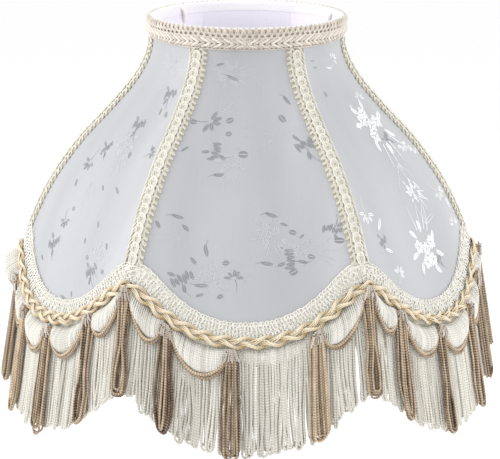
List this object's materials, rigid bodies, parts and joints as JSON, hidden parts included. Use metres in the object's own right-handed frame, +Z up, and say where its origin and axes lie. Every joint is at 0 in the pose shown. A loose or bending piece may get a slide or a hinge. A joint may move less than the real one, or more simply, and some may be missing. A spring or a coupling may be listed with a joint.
{
  "type": "lamp shade",
  "caption": "Bell-shaped fabric lamp shade with scalloped lower edge, braided seams and swagged tassel fringe, carried by a washer spider.",
  "frame": {"origin": "middle of the underside of the spider's washer, on the shade's axis, where the shade rests on a harp", "axes": "+Z up along the shade's axis, -Y through the middle of the front panel, +X to the right seen from the front"},
  "size_m": [0.3936, 0.3935, 0.3125],
  "materials": {
    "white_wire": "gloss white enamel on round steel wire",
    "plated_steel": "dull nickel plate",
    "jacquard": "satin jacquard with a woven floral sprig, taut",
    "lining": "smooth white lining cloth",
    "binding_tape": "woven cotton tape",
    "cream_braid": "looped cord gimp braid, cream",
    "gold_braid": "plaited cord braid, pale gold",
    "ivory_fringe": "chainette fringe, ivory",
    "taupe_fringe": "chainette tassels and swag cord, taupe brown"
  },
  "bodies": {
    "root": {"top_ring": "white_wire", "base_wire": "white_wire", "spider_washer": "plated_steel", "rim_tape": "binding_tape", "base_tape": "binding_tape", "rim_braid": "cream_braid", "base_braid": "cream_braid", "cord_braid": "gold_braid", "spider_arm_1": "white_wire", "spider_arm_2": "white_wire", "spider_arm_3": "white_wire", "rib_wire_1": "white_wire", "outer_panel_1": "jacquard", "lining_panel_1": "lining", "rib_braid_1": "cream_braid", "fringe_header_1": "ivory_fringe", "fringe_skirt_1": "ivory_fringe", "tassel_swag_1": "taupe_fringe", "rib_wire_2": "white_wire", "outer_panel_2": "jacquard", "lining_panel_2": "lining", "rib_braid_2": "cream_braid", "fringe_header_2": "ivory_fringe", "fringe_skirt_2": "ivory_fringe", "tassel_swag_2": "taupe_fringe", "rib_wire_3": "white_wire", "outer_panel_3": "jacquard", "lining_panel_3": "lining", "rib_braid_3": "cream_braid", "fringe_header_3": "ivory_fringe", "fringe_skirt_3": "ivory_fringe", "tassel_swag_3": "taupe_fringe", "rib_wire_4": "white_wire", "outer_panel_4": "jacquard", "lining_panel_4": "lining", "rib_braid_4": "cream_braid", "fringe_header_4": "ivory_fringe", "fringe_skirt_4": "ivory_fringe", "tassel_swag_4": "taupe_fringe", "rib_wire_5": "white_wire", "outer_panel_5": "jacquard", "lining_panel_5": "lining", "rib_braid_5": "cream_braid", "fringe_header_5": "ivory_fringe", "fringe_skirt_5": "ivory_fringe", "tassel_swag_5": "taupe_fringe", "rib_wire_6": "white_wire", "outer_panel_6": "jacquard", "lining_panel_6": "lining", "rib_braid_6": "cream_braid", "fringe_header_6": "ivory_fringe", "fringe_skirt_6": "ivory_fringe", "tassel_swag_6": "taupe_fringe"}
  },
  "joints": []
}
